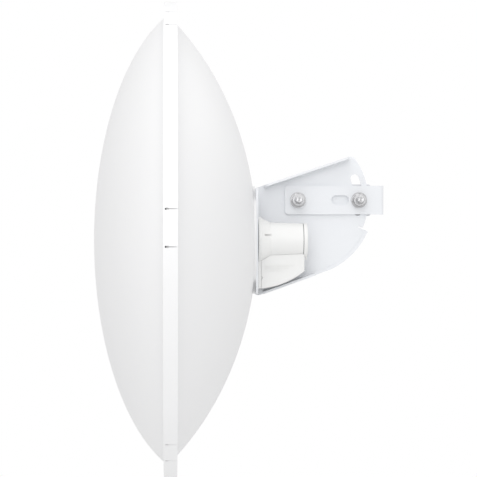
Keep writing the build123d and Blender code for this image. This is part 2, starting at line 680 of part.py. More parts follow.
def make_end_cap():
    """Cap on the barrel with a spigot, a lug for the port cover's latch and a light hole."""
    cap = rod_x(CAP_FRONT, CAP_BACK, CAP_R)
    cap = fillet(cap.edges().filter_by(GeomType.CIRCLE).sort_by(Axis.X)[-1], 1.2)
    spigot_r = BARREL_TIP_R - BARREL_WALL - CAP_SPIGOT_CLEARANCE
    spigot = rod_x(CAP_FRONT - CAP_SPIGOT, CAP_FRONT, spigot_r)
    hollow = rod_x(CAP_FRONT - CAP_SPIGOT - 1, CAP_FRONT + CAP_LENGTH / 2, spigot_r - 2)
    lug = block(
        CAP_FRONT + 0.5, CAP_BACK - 0.3, -CAP_LUG_HALF_WIDTH, CAP_LUG_HALF_WIDTH, CAP_LUG_BOTTOM, -CAP_R + 3
    )
    lug = lug - rod_y(-CAP_R, CAP_R, CAP_LUG_HOLE_R, (CAP_FRONT + CAP_BACK) / 2, CAP_LUG_BOTTOM + 2)
    light_hole = rod_x(CAP_FRONT, CAP_BACK + 1, LIGHT_R + 0.05, 0, LIGHT_Z)
    return cap + spigot + lug - hollow - light_hole


def make_cap_seal():
    """Ring between the barrel and its cap."""
    ring = rod_x(BARREL_END, CAP_FRONT, BARREL_TIP_R - 0.4)
    return ring - rod_x(BARREL_END - 1, CAP_FRONT + 1, BARREL_TIP_R - BARREL_WALL)


def make_status_light():
    """Light pipe from the board's edge to the cap."""
    return rod_x(BOARD_END, CAP_BACK, LIGHT_R, 0, LIGHT_Z) + block(
        BOARD_END - 3, BOARD_END, -LIGHT_R, LIGHT_R, LIGHT_Z - LIGHT_R, BOARD_Z
    )


def cover_solid(inset):
    """Outside of the port cover, or its hollow when inset by the wall."""
    front = BASE_BACK + HOUSING_GAP
    bottom = ThreePointArc(
        (front, BASE_BOTTOM + inset),
        (COVER_MIDDLE_X, COVER_MIDDLE_Z + inset),
        (COVER_END - inset, COVER_BACK_Z + inset),
    )
    top = Polyline(
        (COVER_END - inset, COVER_BACK_Z + inset), (COVER_END - inset, 0), (front, 0), (front, BASE_BOTTOM + inset)
    )
    half = COVER_HALF_WIDTH - inset
    return sheet_in_xz(make_face([bottom, top]), -half, half)


def make_port_cover():
    """Cover over the cable socket: thin walls, curved underside, grip ribs on both sides."""
    shell = cover_solid(0)
    shell = fillet(shell.edges().filter_by(GeomType.CIRCLE), 1.6)
    shell = shell - cover_solid(COVER_WALL)
    ribs = []
    for i in range(RIB_COUNT):
        z = RIB_TOP_Z - i * RIB_PITCH
        length = RIB_LENGTH - i * RIB_SHORTER
        for side in (-1, 1):
            y = side * COVER_HALF_WIDTH
            ribs.append(
                block(RIB_START, RIB_START + length, y - RIB_HEIGHT, y + RIB_HEIGHT, z - RIB_WIDTH, z)
            )
    shell = shell + ribs
    cap_room = rod_x(BARREL_END - HOUSING_GAP, CAP_BACK, CAP_R + HOUSING_GAP)
    lug_room = block(
        CAP_FRONT + 0.5 - HOUSING_GAP,
        CAP_BACK,
        -CAP_LUG_HALF_WIDTH - HOUSING_GAP,
        CAP_LUG_HALF_WIDTH + HOUSING_GAP,
        CAP_LUG_BOTTOM - HOUSING_GAP,
        0,
    )
    notch = [
        Pos(BASE_BACK, side * COVER_HALF_WIDTH, FINGER_NOTCH_Z) * Sphere(FINGER_NOTCH / 2) for side in (-1, 1)
    ]
    shell = shell - [barrel_envelope(HOUSING_GAP), cap_room, lug_room] - notch
    seat = rod_z(COVER_MIDDLE_Z * 2, GROMMET_TOP, GROMMET_R, GROMMET_X)
    return shell - seat


def make_grommet():
    """Rubber cable grommet in the cover's underside, cut flush with it, with a lip inside."""
    body = rod_z(COVER_MIDDLE_Z * 2, GROMMET_TOP, GROMMET_R - 0.05, GROMMET_X) & cover_solid(0)
    lip = rod_z(GROMMET_TOP - GROMMET_LIP_THICK, GROMMET_TOP, GROMMET_LIP_R, GROMMET_X)
    return body + lip - rod_z(COVER_MIDDLE_Z * 2, 0, GROMMET_BORE_R, GROMMET_X)


# ---------------------------------------------------------------- electronics
def make_board():
    """Main board on the barrel's rails, with the reset switch under it."""
    board = block(
        BOARD_START, BOARD_END, -BOARD_HALF_WIDTH, BOARD_HALF_WIDTH, BOARD_Z, BOARD_Z + BOARD_THICK
    )
    switch = block(
        BUTTON_X - SWITCH_HALF, BUTTON_X + SWITCH_HALF, -SWITCH_HALF, SWITCH_HALF, BOARD_Z - SWITCH_HEIGHT, BOARD_Z
    )
    return board + switch


def make_shield():
    """Screening can on the board."""
    base = BOARD_Z + BOARD_THICK
    end = SHIELD_START + SHIELD_LENGTH
    can = block(SHIELD_START, end, -SHIELD_HALF_WIDTH, SHIELD_HALF_WIDTH, base, base + SHIELD_HEIGHT)
    return fillet(can.edges().filter_by(Axis.Z), 1)


def make_spreader():
    """Heat spreader between the can and the barrel."""
    base = BOARD_Z + BOARD_THICK + SHIELD_HEIGHT
    end = SHIELD_START + SHIELD_LENGTH - 2
    return block(SHIELD_START + 2, end, -SPREADER_HALF_WIDTH, SPREADER_HALF_WIDTH, base, base + SPREADER_HEIGHT)


def make_jack():
    """Cable socket under the board, with its mouth down."""
    half = JACK_LENGTH / 2
    body = block(JACK_X - half, JACK_X + half, -JACK_HALF_WIDTH, JACK_HALF_WIDTH, BOARD_Z - JACK_HEIGHT, BOARD_Z)
    mouth = block(
        JACK_X - half + 1.5, JACK_X + half - 1.5, -6, 4.5, BOARD_Z - JACK_HEIGHT - 1, BOARD_Z - 4
    )
    key = block(JACK_X - 3, JACK_X + 3, 4, 6.6, BOARD_Z - JACK_HEIGHT - 1, BOARD_Z - 4)
    return body - mouth - key


def make_button():
    """Reset plunger through the barrel's underside, kept in by a collar."""
    top = BOARD_Z - SWITCH_HEIGHT - BUTTON_TRAVEL
    slope = (BARREL_ROOT_R - BARREL_TIP_R) / (BARREL_END - BARREL_START)
    outside = BARREL_ROOT_R - slope * (BUTTON_X - BARREL_START)
    collar_z = -(outside - BARREL_WALL) + 0.4
    stem = rod_z(-outside - 0.6, top, BUTTON_R, BUTTON_X)
    return stem + rod_z(collar_z, collar_z + 1.2, BUTTON_COLLAR_R, BUTTON_X)


# ---------------------------------------------------------------- feed
def make_feed_tube():
    """Tapered plastic tube that carries the feed, flanged inside the dish."""
    outside = turned(
        (FEED_FLANGE_BACK, 0),
        (FEED_FLANGE_BACK, FEED_FLANGE_R),
        (FEED_FLANGE_FRONT, FEED_FLANGE_R),
        (FEED_FLANGE_FRONT, FEED_TUBE_ROOT_R),
        (FEED_TUBE_FRONT, FEED_TUBE_TIP_R),
        (FEED_TUBE_FRONT, 0),
    )
    hollow = turned(
        (FEED_FLANGE_BACK + 1, 0),
        (FEED_FLANGE_BACK + 1, SPIGOT_BORE_R),
        (FEED_FLANGE_FRONT, SPIGOT_BORE_R),
        (FEED_TUBE_FRONT + FEED_TUBE_WALL, FEED_TUBE_TIP_R - FEED_TUBE_WALL),
        (FEED_TUBE_FRONT + FEED_TUBE_WALL, 0),
    )
    mouth = rod_x(FEED_TUBE_FRONT - 1, FEED_TUBE_FRONT + FEED_TUBE_WALL + 1, WAVEGUIDE_R + 0.3)
    holes = feed_ring(rod_x(FEED_FLANGE_BACK - FEED_SCREW_LENGTH * 2, FEED_FLANGE_BACK + 1, FEED_SCREW_R + 0.2))
    heads = feed_ring(rod_x(FEED_FLANGE_FRONT - FEED_SCREW_LENGTH * 2, FEED_FLANGE_FRONT, FEED_SCREW_HEAD_R + 0.5))
    return outside - [hollow, mouth] - holes - heads


def make_feed_seal():
    """Gasket between the feed's flange and the inside of the dish."""
    ring = rod_x(FEED_FLANGE_BACK, HUB_FRONT, FEED_FLANGE_R - 1.5)
    return ring - rod_x(FEED_FLANGE_BACK - 1, HUB_FRONT + 1, HUB_HOLE_R + 0.7)


def make_feed_screws():
    """Screws that draw the feed tube and the housing together across the hub."""
    shank = rod_x(FEED_FLANGE_FRONT, FEED_FLANGE_FRONT + FEED_SCREW_LENGTH, FEED_SCREW_R)
    head = rod_x(FEED_FLANGE_FRONT - 2, FEED_FLANGE_FRONT, FEED_SCREW_HEAD_R)
    return Compound(feed_ring(shank + head))


def make_waveguide():
    """Round waveguide with a flange on the board side."""
    tube = rod_x(CONE_ROOT, BASE_BACK, WAVEGUIDE_R)
    flange = rod_x(FEED_FLANGE_BACK, FEED_FLANGE_BACK + 4, WAVEGUIDE_FLANGE_R + 1.4)
    return tube + flange - rod_x(CONE_ROOT - 1, BASE_BACK - 2, WAVEGUIDE_BORE_R)


def make_feed_cone():
    """Dielectric cone plugged into the waveguide's mouth."""
    return turned(
        (CONE_ROOT + CONE_PLUG, 0),
        (CONE_ROOT + CONE_PLUG, WAVEGUIDE_BORE_R - 1.5),
        (CONE_ROOT, WAVEGUIDE_BORE_R - 0.05),
        (CONE_ROOT, WAVEGUIDE_R),
        (SPLASH_BACK, CONE_R),
        (SPLASH_BACK, 0),
    )


def make_sub_reflector():
    """Metal disc that sends the beam back to the dish."""
    return rod_x(SPLASH_FRONT, SPLASH_BACK, SPLASH_R)


def make_feed_cap():
    """Thin puck over the sub-reflector."""
    cap = rod_x(SPLASH_FRONT - FEED_CAP_WALL, FEED_CAP_BACK, FEED_CAP_R)
    cap = fillet(cap.edges().filter_by(GeomType.CIRCLE), 1.2)
    inside = rod_x(SPLASH_FRONT, FEED_CAP_BACK - FEED_CAP_WALL, FEED_CAP_R - FEED_CAP_WALL)
    return cap - inside - rod_x(SPLASH_FRONT + 1, FEED_CAP_BACK + 1, WAVEGUIDE_R + 0.3)


# ---------------------------------------------------------------- pole clamp
def jaw_solid():
    """Near jaw: a long block with a toothed seat for the pole and thinner ends for the bolts."""
    seat_x = POLE_R * sin(radians(JAW_SEAT_HALF_ANGLE))
    land_x = seat_x + JAW_LAND
    end_y = -JAW_BACK_Y + JAW_END_THICK
    half = JAW_LENGTH / 2
    outline = Polyline(
        (-half, -JAW_BACK_Y),
        (half, -JAW_BACK_Y),
        (half, end_y),
        (land_x + JAW_SLOPE, end_y),
        (land_x, -JAW_MOUTH_Y),
        (-land_x, -JAW_MOUTH_Y),
        (-land_x - JAW_SLOPE, end_y),
        (-half, end_y),
        close=True,
    )
    body = Pos(0, 0, -JAW_HEIGHT / 2) * extrude(make_face(outline), JAW_HEIGHT)
    body = fillet(body.edges().filter_by(Axis.Y), 3)
    body = body - rod_z(-JAW_HEIGHT, JAW_HEIGHT, POLE_R)
    teeth = []
    for side in (-1, 1):
        for angle in (32, 42, 52):
            groove = Box(1.6, 2 * JAW_TOOTH, JAW_HEIGHT * 2)
            teeth.append(Rot(0, 0, side * angle) * Pos(0, -POLE_R, 0) * groove)
    return body - teeth


def bolt_places():
    """The two bolts: the pivot and the one in the curved slot."""
    return (PIVOT_X, SLOT_X)


def make_near_jaw():
    """Jaw between the bracket and the pole."""
    return jaw_solid() - [rod_y(-JAW_BACK_Y - 1, 0, BOLT_HOLE_R, x) for x in bolt_places()]


def make_far_jaw():
    """Jaw behind the pole, with square seats for the bolts' necks and a hollow back."""
    body = mirror(jaw_solid(), about=Plane.XZ)
    half = SQUARE_NECK / 2 + SQUARE_CLEARANCE
    for x in bolt_places():
        body = body - rod_y(0, JAW_BACK_Y + 1, BOLT_HOLE_R, x)
        body = body - block(x - half, x + half, JAW_BACK_Y - SQUARE_NECK / 2, JAW_BACK_Y + 1, -half, half)
    reach = PIVOT_X + BOLT_HEAD_D / 2 + 4
    pocket = block(reach, -reach, JAW_BACK_Y - JAW_POCKET, JAW_BACK_Y + 1, -JAW_HEIGHT / 3, JAW_HEIGHT / 3)
    pocket = fillet(pocket.edges().filter_by(Axis.Y), 4)
    web = block(-1.6, 1.6, JAW_BACK_Y - JAW_POCKET, JAW_BACK_Y, -JAW_HEIGHT / 3, JAW_HEIGHT / 3)
    return body - (pocket - web)


def make_bolt(x):
    """Carriage bolt: domed head, square neck, shank towards the near side."""
    rise = BOLT_HEAD_HEIGHT
    radius = (rise**2 + (BOLT_HEAD_D / 2) ** 2) / (2 * rise)
    head = Pos(x, JAW_BACK_Y + rise - radius, 0) * Sphere(radius)
    head = head & rod_y(JAW_BACK_Y, JAW_BACK_Y + rise + 1, BOLT_HEAD_D / 2, x)
    half = SQUARE_NECK / 2
    neck = block(x - half, x + half, JAW_BACK_Y - half + 0.5, JAW_BACK_Y, -half, half)
    shank = rod_y(BOLT_END_Y, JAW_BACK_Y, BOLT_R, x)
    shank = chamfer(shank.edges().filter_by(GeomType.CIRCLE).sort_by(Axis.Y)[0], 1)
    return head + neck + shank


def make_bar():
    """Clamp bar over the cheek, with a long slot and its far end turned back."""
    left = PIVOT_X - BAR_LEFT
    right = SLOT_X + BAR_RIGHT
    bar = block(left, right, BAR_NEAR_Y, CHEEK_NEAR_Y, -BAR_HALF_HEIGHT, BAR_HALF_HEIGHT)
    bar = fillet(bar.edges().filter_by(Axis.Y).sort_by(Axis.X)[:2], BAR_CORNER)
    tail = block(right - BAR_SHEET, right, BAR_NEAR_Y, CHEEK_NEAR_Y + BAR_RETURN, -BAR_HALF_HEIGHT, BAR_HALF_HEIGHT)
    tail = fillet(tail.edges().filter_by(Axis.X).sort_by(Axis.Y)[2:], BAR_CORNER)
    bar = bar + tail
    outer_edge = bar.edges().filter_by(Axis.Z).sort_by(lambda e: e.center().X - e.center().Y)[-1]
    bar = fillet(outer_edge, BAR_CORNER)
    slot_x = SLOT_X - BAR_SLOT_FROM_BOLT - BAR_SLOT_LENGTH / 2
    slot = SlotOverall(BAR_SLOT_LENGTH, BAR_SLOT_WIDTH)
    slot = Pos(slot_x, CHEEK_NEAR_Y + 1, 0) * Rot(90, 0, 0) * extrude(slot, BAR_SHEET + 2)
    holes = [rod_y(BAR_NEAR_Y - 1, CHEEK_NEAR_Y + 1, BOLT_HOLE_R, x) for x in bolt_places()]
    return bar - slot - holes


def make_washer(x, near_y, far_y, diameter):
    """A flat ring on a bolt."""
    ring = rod_y(near_y, far_y, diameter / 2, x)
    return ring - rod_y(near_y - 1, far_y + 1, BOLT_HOLE_R, x)


def make_flat_washers():
    """Flat washers on the clamp bar."""
    return Compound([make_washer(x, WASHER_NEAR_Y, BAR_NEAR_Y, WASHER_D) for x in bolt_places()])


def make_lock_washers():
    """Split spring washers under the nuts."""
    rings = []
    for x in bolt_places():
        ring = make_washer(x, NUT_SEAT_Y, WASHER_NEAR_Y, LOCK_WASHER_D)
        split = Pos(x, (NUT_SEAT_Y + WASHER_NEAR_Y) / 2, BOLT_R * 1.5) * Rot(0, 0, 30) * Box(1.2, 8, BOLT_R * 2)
        rings.append(ring - split)
    return Compound(rings)


def make_nut(x):
    """Hexagon nut with rounded corners on both faces."""
    prism = hexagon_y(NUT_NEAR_Y, NUT_SEAT_Y, NUT_ACROSS_FLATS, x, 0)
    corner_r = NUT_ACROSS_FLATS / sqrt(3)
    dome = rod_y(NUT_NEAR_Y, NUT_SEAT_Y, corner_r, x)
    dome = chamfer(dome.edges().filter_by(GeomType.CIRCLE), 0.7, 1.2)
    bore = rod_y(NUT_NEAR_Y - 1, NUT_SEAT_Y + 1, BOLT_R + THREAD_CLEARANCE, x)
    return (prism & dome) - bore


# ---------------------------------------------------------------- all the pieces
os.makedirs("parts", exist_ok=True)

ANTENNA = {
    "radome": make_radome,
    "rim_seal": make_rim_seal,
    "reflector": make_reflector,
    "hub_plate": make_hub_plate,
    "bracket": make_bracket,
    "foot_screws": make_foot_screws,
    "foot_nuts": make_foot_nuts,
    "radio_housing": make_housing,
    "housing_seal": make_housing_seal,
    "end_cap": make_end_cap,
    "cap_seal": make_cap_seal,
    "status_light": make_status_light,
    "port_cover": make_port_cover,
    "cable_grommet": make_grommet,
    "main_board": make_board,
    "shield_can": make_shield,
    "heat_spreader": make_spreader,
    "cable_socket": make_jack,
    "reset_button": make_button,
    "feed_tube": make_feed_tube,
    "feed_seal": make_feed_seal,
    "feed_screws": make_feed_screws,
    "waveguide": make_waveguide,
    "feed_cone": make_feed_cone,
    "sub_reflector": make_sub_reflector,
    "feed_cap": make_feed_cap,
}
for name, make in ANTENNA.items():
    save(name, on_antenna(make()))

save("near_jaw", make_near_jaw())
save("far_jaw", make_far_jaw())
save("pivot_bolt", make_bolt(PIVOT_X))
save("slot_bolt", make_bolt(SLOT_X))
save("clamp_bar", make_bar())
save("flat_washers", make_flat_washers())
save("lock_washers", make_lock_washers())
save("pivot_nut", make_nut(PIVOT_X))
save("slot_nut", make_nut(SLOT_X))
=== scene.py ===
"""Looks for a pole-mounted dish antenna with a domed radome. Metres, in the frame's own axes."""

import math

import bpy
import numpy as np
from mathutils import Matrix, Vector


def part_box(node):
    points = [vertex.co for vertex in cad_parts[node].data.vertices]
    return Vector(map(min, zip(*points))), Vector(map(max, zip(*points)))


bl_info = {
    "name": "Dish antenna looks",
    "version": (1, 0, 0),
    "blender": (4, 5, 0),
    "location": "3D View > Sidebar > Dish antenna",
    "description": "Gives a pole-mounted dish antenna its finishes and a plain studio",
    "category": "Object",
}

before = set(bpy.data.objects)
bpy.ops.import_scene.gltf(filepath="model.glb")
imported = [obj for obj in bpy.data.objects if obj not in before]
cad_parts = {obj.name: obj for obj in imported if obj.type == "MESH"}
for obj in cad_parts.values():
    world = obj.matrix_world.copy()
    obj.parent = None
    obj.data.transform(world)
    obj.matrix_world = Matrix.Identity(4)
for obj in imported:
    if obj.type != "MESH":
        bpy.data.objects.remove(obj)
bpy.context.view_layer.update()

RIM_LOW, RIM_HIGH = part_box("radome")
BAND_REAR = RIM_HIGH[0]
AXIS_Y = (RIM_HIGH[1] + RIM_LOW[1]) / 2
AXIS_Z = (RIM_HIGH[2] + RIM_LOW[2]) / 2
BAND_WIDTH = 0.018
RIM_PLANE = BAND_REAR - BAND_WIDTH / 2

# Bolt threads
THREAD_PITCH = 0.0015
THREAD_DEPTH = 0.0009
THREAD_END_Y = 0.03

# A Mix node's colour sockets share their names with its other types, so they go by number
MIX_COLOUR_A = 6
MIX_COLOUR_B = 7
MIX_COLOUR_RESULT = 2

# Studio: places are from the middle of the view, in metres
VIEW_MIDDLE_BEHIND_RIM = 0.1
SENSOR_WIDTH_MM = 36.0
CAMERA_REACH = 50.0
OVERHEAD_PLACE = (-0.3, -0.9, 1.9)
OVERHEAD_SIZE = 1.6
FRONT_PLACE = (-0.1, -2.4, 0.8)
FRONT_SIZE = 1.8
BACK_PLACE = (1.6, 0.9, 1.2)
BACK_SIZE = 1.4
BACK_SHARE_OF_KEY = 0.5
FLOOR_HALF_WIDTH = 6.0
FLOOR_LINES = 9
FLOOR_GREY = 0.9
FLOOR_GLOW_TO_CAMERA = 0.88


# ---------------------------------------------------------------- what a user may change
class DishFinishes(bpy.types.PropertyGroup):
    """Colours and surface sizes of the antenna's finishes."""

    radome_colour: bpy.props.FloatVectorProperty(
        name="Radome",
        description="Moulded radome",
        subtype="COLOR",
        default=(0.86, 0.86, 0.865),
        min=0,
        max=1,
    )
    dish_colour: bpy.props.FloatVectorProperty(
        name="Dish",
        description="Powder-coated dish",
        subtype="COLOR",
        default=(0.83, 0.83, 0.835),
        min=0,
        max=1,
    )
    bracket_colour: bpy.props.FloatVectorProperty(
        name="Bracket",
        description="Powder-coated steel sheet",
        subtype="COLOR",
        default=(0.79, 0.805, 0.83),
        min=0,
        max=1,
    )
    housing_colour: bpy.props.FloatVectorProperty(
        name="Housing",
        description="Moulded radio housing",
        subtype="COLOR",
        default=(0.83, 0.83, 0.82),
        min=0,
        max=1,
    )
    zinc_colour: bpy.props.FloatVectorProperty(
        name="Zinc",
        description="Zinc-plated fasteners",
        subtype="COLOR",
        default=(0.6, 0.6, 0.61),
        min=0,
        max=1,
    )
    coat_grain: bpy.props.FloatProperty(
        name="Coat grain",
        description="Size of the powder coat's orange peel",
        default=0.0016,
        unit="LENGTH",
    )
    mould_grain: bpy.props.FloatProperty(
        name="Mould grain",
        description="Size of the moulded satin grain",
        default=0.0007,
        unit="LENGTH",
    )


class DishStudio(bpy.types.PropertyGroup):
    """Camera and light levels."""

    distance: bpy.props.FloatProperty(
        name="Distance", description="Camera to the dish's axis", default=2.6, unit="LENGTH"
    )
    field: bpy.props.FloatProperty(
        name="Field", description="Width seen at the dish's axis", default=0.6564, unit="LENGTH"
    )
    look_right: bpy.props.FloatProperty(
        name="Look right",
        description="Centre of view to the right of the rim",
        default=0.0936,
        unit="LENGTH",
    )
    look_up: bpy.props.FloatProperty(
        name="Look up",
        description="Centre of view above the dish's axis",
        default=0.0021,
        unit="LENGTH",
    )
    ambient: bpy.props.FloatProperty(
        name="Ambient", description="Level of the surrounding light", default=0.86
    )
    key: bpy.props.FloatProperty(
        name="Key", description="Power of the overhead lamp", default=8.0, unit="POWER"
    )
    front: bpy.props.FloatProperty(
        name="Front", description="Power of the front lamp", default=14.5, unit="POWER"
    )
    floor_drop: bpy.props.FloatProperty(
        name="Floor drop", description="Floor below the dish's axis", default=1.1, unit="LENGTH"
    )


# ---------------------------------------------------------------- shader maths
class Sock:
    """A shader value: arithmetic on it adds Math nodes."""

    def __init__(self, tree, socket):
        self.tree, self.socket = tree, socket

    def _math(self, operation, *values):
        node = self.tree.nodes.new("ShaderNodeMath")
        node.operation = operation
        for slot, value in zip(node.inputs, values):
            if isinstance(value, Sock):
                self.tree.links.new(value.socket, slot)
            else:
                slot.default_value = value
        return Sock(self.tree, node.outputs[0])

    def __add__(self, other):
        return self._math("ADD", self, other)

    __radd__ = __add__

    def __sub__(self, other):
        return self._math("SUBTRACT", self, other)

    def __rsub__(self, other):
        return self._math("SUBTRACT", other, self)

    def __mul__(self, other):
        return self._math("MULTIPLY", self, other)

    __rmul__ = __mul__

    def __lt__(self, other):
        return self._math("LESS_THAN", self, other)

    def __gt__(self, other):
        return self._math("GREATER_THAN", self, other)

    def fraction(self):
        return self._math("FRACT", self)

    def distance_from(self, value):
        return self._math("ABSOLUTE", self - value)

    def maximum(self, other):
        return self._math("MAXIMUM", self, other)

    def angle(self, other):
        return self._math("ARCTAN2", self, other)


class Finish:
    """A material with one Principled shader on Object coordinates."""

    def __init__(self, name, colour, roughness, metallic=0.0):
        self.material = bpy.data.materials.new(name)
        self.material.use_nodes = True
        self.tree = self.material.node_tree
        self.shader = self.tree.nodes["Principled BSDF"]
        self.colour = tuple(colour) + (1.0,)
        self.shader.inputs["Metallic"].default_value = metallic
        self.shader.inputs["Roughness"].default_value = roughness
        self.shader.inputs["Base Color"].default_value = self.colour
        self.place = self.node("ShaderNodeTexCoord")["Object"]

    def node(self, kind, settings=None, values=None):
        """Adds a node: its settings first, then its sockets' values or links."""
        node = self.tree.nodes.new(kind)
        for key, value in (settings or {}).items():
            setattr(node, key, value)
        for key, value in (values or {}).items():
            if isinstance(value, Sock):
                self.tree.links.new(value.socket, node.inputs[key])
            else:
                node.inputs[key].default_value = value
        return {out.name: Sock(self.tree, out) for out in reversed(node.outputs)}

    def feed(self, socket, value):
        self.tree.links.new(value.socket, self.shader.inputs[socket])

    def noise(self, size, detail=2.0):
        """Noise with a given feature size in metres."""
        values = {"Vector": self.place, "Scale": 1.0 / size, "Detail": detail}
        return self.node("ShaderNodeTexNoise", None, values)["Fac"]

    def axes(self):
        parts = self.node("ShaderNodeSeparateXYZ", None, {"Vector": self.place})
        return parts["X"], parts["Y"], parts["Z"]

    def vary_colour(self, mask, other):
        """Base colour that goes to another colour where the mask is 1."""
        mix = self.node("ShaderNodeMix", {"data_type": "RGBA"}, {"Factor": mask})
        node = mix["Result"].socket.node
        node.inputs[MIX_COLOUR_A].default_value = self.colour
        node.inputs[MIX_COLOUR_B].default_value = tuple(other) + (1.0,)
        result = node.outputs[MIX_COLOUR_RESULT]
        self.tree.links.new(result, self.shader.inputs["Base Color"])

    def bump(self, height, depth, strength):
        """Relief of a given depth in metres where the height goes from 0 to 1."""
        values = {"Height": height, "Distance": depth, "Strength": strength}
        self.feed("Normal", self.node("ShaderNodeBump", None, values)["Normal"])


def darker(colour, factor):
    """The colour with each channel times the factor."""
    return tuple(value * factor for value in colour)


def satin_plastic(name, colour, roughness, grain):
    """Moulded plastic: fine satin grain, broad faint mottling and slight change of gloss."""
    finish = Finish(name, colour, roughness)
    broad = finish.noise(0.12, 3.0)
    fine = finish.noise(grain, 1.0)
    finish.vary_colour(broad * 0.6 + fine * 0.15, darker(colour, 0.972))
    finish.feed("Roughness", roughness - 0.05 + broad * 0.1)
    finish.bump(fine, grain * 0.05, 0.25)
    return finish.material


def powder_coat(name, colour, roughness, grain):
    """Powder coat on metal: orange peel, with a faint speckle."""
    finish = Finish(name, colour, roughness)
    peel = finish.noise(grain, 1.5)
    broad = finish.noise(0.09, 2.0)
    speck = finish.noise(grain * 0.45, 0.0) > 0.71
    finish.vary_colour(broad * 0.5 + speck * 0.35, darker(colour, 0.965))
    finish.feed("Roughness", roughness - 0.06 + peel * 0.12)
    finish.bump(peel, grain * 0.06, 0.4)
    return finish.material


def zinc_plate(name, colour, centre_x=None):
    """Zinc plating: soft spangle and, round a bolt's centre line, a right-hand helical thread."""
    finish = Finish(name, colour, 0.34, 0.9)
    cloud = finish.noise(0.004, 3.0)
    scuff = finish.noise(0.0006, 1.0)
    finish.vary_colour(cloud, darker(colour, 0.78))
    finish.feed("Roughness", 0.26 + cloud * 0.14 + scuff * 0.08)
    if centre_x is None:
        finish.bump(scuff, 0.00006, 0.3)
        return finish.material
    x, y, z = finish.axes()
    turn = z.angle(x - centre_x) * (-0.5 / math.pi)
    ridge = (y * (1 / THREAD_PITCH) + turn).fraction().distance_from(0.5) * 2.0
    finish.bump(ridge * (y < THREAD_END_Y), THREAD_DEPTH, 1.0)
    return finish.material


def elastomer(name, colour):
    """Rubber: matt, with a faint bloom."""
    finish = Finish(name, colour, 0.75)
    bloom = finish.noise(0.006, 3.0)
    finish.vary_colour(bloom, tuple(value * 1.6 for value in colour))
    finish.feed("Roughness", 0.66 + bloom * 0.18)
    finish.bump(finish.noise(0.0008), 0.00008, 0.3)
    return finish.material


def bare_metal(name, colour, roughness, grain):
    """Turned or rolled bare metal, with fine lines that follow one another along X."""
    finish = Finish(name, colour, roughness, 1.0)
    x, _, _ = finish.axes()
    values = {"W": x, "Scale": 1.0 / grain, "Detail": 2.0}
    lines = finish.node("ShaderNodeTexNoise", {"noise_dimensions": "1D"}, values)["Fac"]
    finish.vary_colour(lines, darker(colour, 0.85))
    finish.feed("Roughness", roughness - 0.08 + lines * 0.16)
    finish.bump(lines, grain * 0.05, 0.3)
    return finish.material


def circuit_board(name):
    """Solder mask with copper tracks showing through as a paler green."""
    finish = Finish(name, (0.02, 0.16, 0.07), 0.35)
    x, _, _ = finish.axes()
    wander = x * 240.0 + finish.noise(0.01) * 2.0
    tracks = (wander.fraction().distance_from(0.5) < 0.12) * 0.7
    finish.vary_colour(tracks, (0.06, 0.3, 0.14))
    finish.feed("Roughness", 0.3 + tracks * 0.1)
    return finish.material


def clear_pipe(name):
    """Light pipe: pale and glossy, with slight clouding."""
    finish = Finish(name, (0.72, 0.78, 0.84), 0.12)
    cloud = finish.noise(0.002)
    finish.vary_colour(cloud, (0.6, 0.68, 0.76))
    finish.feed("Roughness", 0.08 + cloud * 0.1)
    return finish.material


# ---------------------------------------------------------------- finishes on the frame's own nodes
def paint(material, *nodes):
    """Puts a material in every slot of the named nodes."""
    for name in nodes:
        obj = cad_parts[name]
        if not obj.material_slots:
            obj.data.materials.append(material)
        for slot in obj.material_slots:
            slot.material = material


class DISH_OT_shell(bpy.types.Operator):
    """Finishes the radome, its seal, the dish and the hub."""

    bl_idname = "dish.shell"
    bl_label = "Radome and dish"

    def execute(self, context):
        look = context.scene.dish_finishes
        radome = satin_plastic("radome_plastic", look.radome_colour, 0.42, look.mould_grain)
        paint(radome, "radome")
        dish = powder_coat("dish_powder_coat", look.dish_colour, 0.44, look.coat_grain)
        paint(dish, "reflector")
        hub = powder_coat("hub_powder_coat", look.dish_colour, 0.46, look.coat_grain)
        paint(hub, "hub_plate")
        paint(elastomer("rim_elastomer", (0.03, 0.03, 0.03)), "rim_seal")
        return {"FINISHED"}


class DISH_OT_bracket(bpy.types.Operator):
    """Finishes the bent bracket and the clamp bar."""

    bl_idname = "dish.bracket"
    bl_label = "Bracket and clamp bar"

    def execute(self, context):
        look = context.scene.dish_finishes
        sheet = powder_coat("bracket_powder_coat", look.bracket_colour, 0.4, look.coat_grain)
        paint(sheet, "bracket")
        bar = powder_coat("bar_powder_coat", look.bracket_colour, 0.38, look.coat_grain)
        paint(bar, "clamp_bar")
        return {"FINISHED"}


class DISH_OT_jaws(bpy.types.Operator):
    """Finishes the two clamp jaws: a coarser coat in the bracket's colour made darker, as painted
    shade.
    """

    bl_idname = "dish.jaws"
    bl_label = "Clamp jaws"

    def execute(self, context):
        look = context.scene.dish_finishes
        # Painted shade: the jaws sit behind the cheek plate, so their coat is the bracket's colour
        # made darker.
        colour = darker(look.bracket_colour, 0.93)
        jaws_painted_shade_coat = powder_coat("jaw_coat_painted_shade", colour, 0.52, look.coat_grain * 1.4)
        paint(jaws_painted_shade_coat, "near_jaw", "far_jaw")
        return {"FINISHED"}


class DISH_OT_fasteners(bpy.types.Operator):
    """Finishes the bolts with their threads, the nuts, the washers and the small screws."""

    bl_idname = "dish.fasteners"
    bl_label = "Fasteners"

    def execute(self, context):
        look = context.scene.dish_finishes
        for name in ("pivot_bolt", "slot_bolt"):
            low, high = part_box(name)
            paint(zinc_plate(name + "_zinc", look.zinc_colour, (low[0] + high[0]) / 2), name)
        nut = zinc_plate("nut_zinc", darker(look.zinc_colour, 0.95))
        paint(nut, "pivot_nut", "slot_nut")
        washer = zinc_plate("washer_zinc", darker(look.zinc_colour, 0.82))
        paint(washer, "flat_washers", "lock_washers")
        screw = zinc_plate("screw_zinc", look.zinc_colour)
        paint(screw, "foot_screws", "foot_nuts", "feed_screws")
        return {"FINISHED"}


